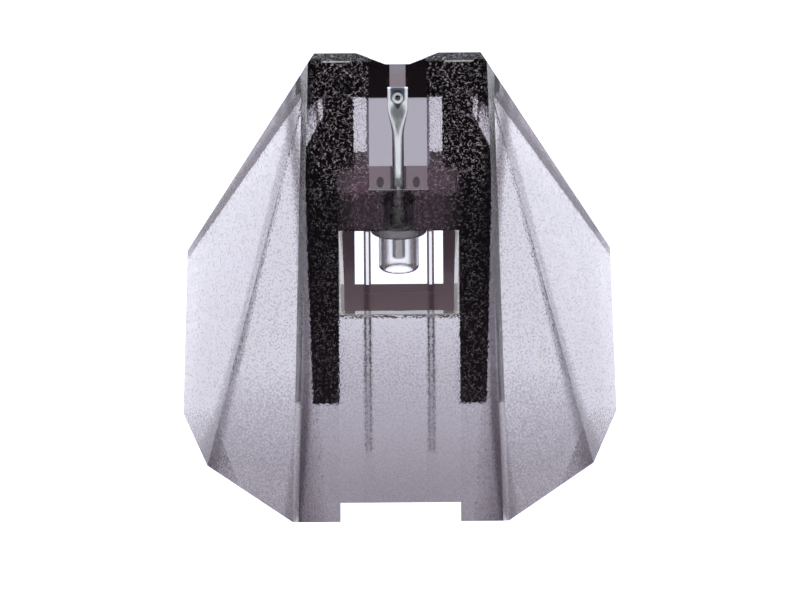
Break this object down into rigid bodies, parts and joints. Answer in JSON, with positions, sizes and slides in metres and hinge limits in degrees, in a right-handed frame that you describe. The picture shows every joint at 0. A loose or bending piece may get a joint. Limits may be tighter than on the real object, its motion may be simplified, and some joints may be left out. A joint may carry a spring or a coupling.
{
  "type": "turntable stylus unit",
  "caption": "Clip-on stylus unit for a record player's cartridge: faceted translucent housing with a sprung cantilever, diamond tip and plug tube.",
  "frame": {"origin": "middle of the footprint, on the plane that the centre frame stands on when the needle points up", "axes": "+Z towards the record side (needle up), -Y towards the nose and needle, X across the housing"},
  "size_m": [0.018, 0.0194, 0.0086],
  "materials": {
    "smoky_plastic": "translucent smoky violet-grey, fine spark texture outside, polished inside",
    "clear_plastic": "clear, slightly smoky, polished",
    "black_rubber": "matt black rubber",
    "bright_aluminium": "drawn aluminium",
    "magnet_grey": "ground grey magnet",
    "shank_metal": "polished metal pin",
    "diamond": "polished diamond",
    "cement": "clear set cement"
  },
  "bodies": {
    "housing": {"housing": "smoky_plastic", "plug_tube": "clear_plastic"},
    "damper": {"damper": "black_rubber"},
    "cantilever": {"collar": "bright_aluminium", "cantilever": "bright_aluminium", "magnet": "magnet_grey", "tip_shank": "shank_metal", "diamond_tip": "diamond", "tip_bond": "cement"}
  },
  "joints": [
    {"name": "cantilever_sideways", "type": "hinge", "parent": "housing", "child": "damper", "pos_m": [0, -0.00295, 0.0059], "axis": [0, 0.3256, 0.9455], "range_deg": [-5, 5], "stiffness_Nm_per_rad": 0.0014},
    {"name": "cantilever_lift", "type": "hinge", "parent": "damper", "child": "cantilever", "pos_m": [0, -0.00295, 0.0059], "axis": [1, 0, 0], "range_deg": [-3, 8], "stiffness_Nm_per_rad": 0.0014}
  ]
}
